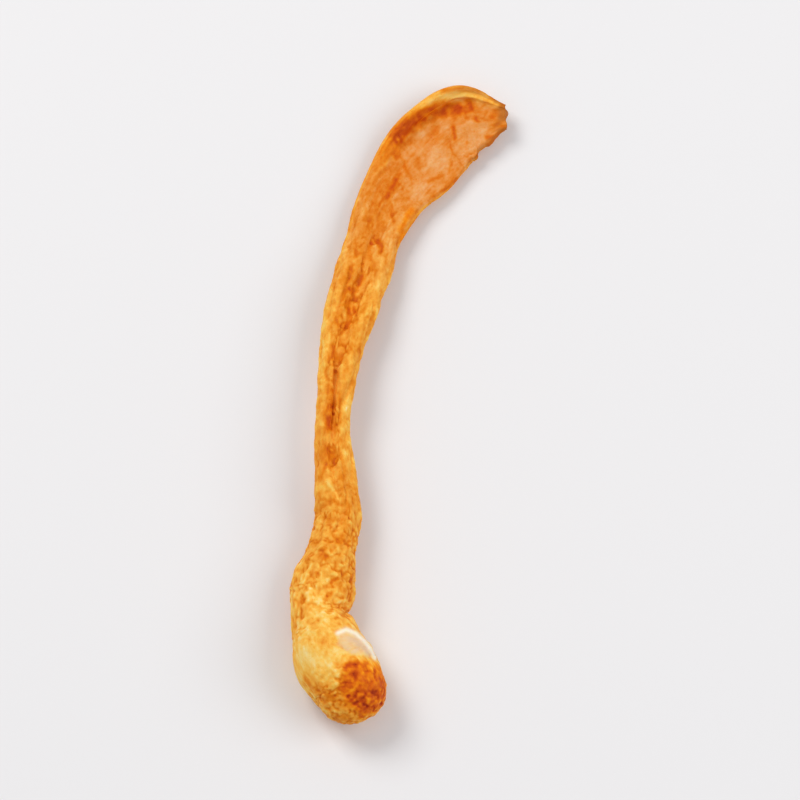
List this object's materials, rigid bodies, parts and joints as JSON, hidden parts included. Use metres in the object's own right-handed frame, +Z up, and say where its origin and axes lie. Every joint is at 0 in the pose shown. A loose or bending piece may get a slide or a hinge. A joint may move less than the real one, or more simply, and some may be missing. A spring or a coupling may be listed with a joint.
{
  "type": "dried cordyceps",
  "caption": "Single dried fruiting body lying on its side: a rounded, finely wrinkled club, a flattened grooved stem and a thin scooped fan with a torn end.",
  "frame": {"origin": "centre of the object's box in plan, at the surface that it lies on", "axes": "+Y along the strand, from the tip of the club to the torn end of the fan; +Z up; +X to the side that the fan leans to"},
  "size_m": [0.0258, 0.0802, 0.0083],
  "materials": {
    "dried_skin": "matte"
  },
  "bodies": {
    "root": {"fruiting_body": "dried_skin"}
  },
  "joints": []
}
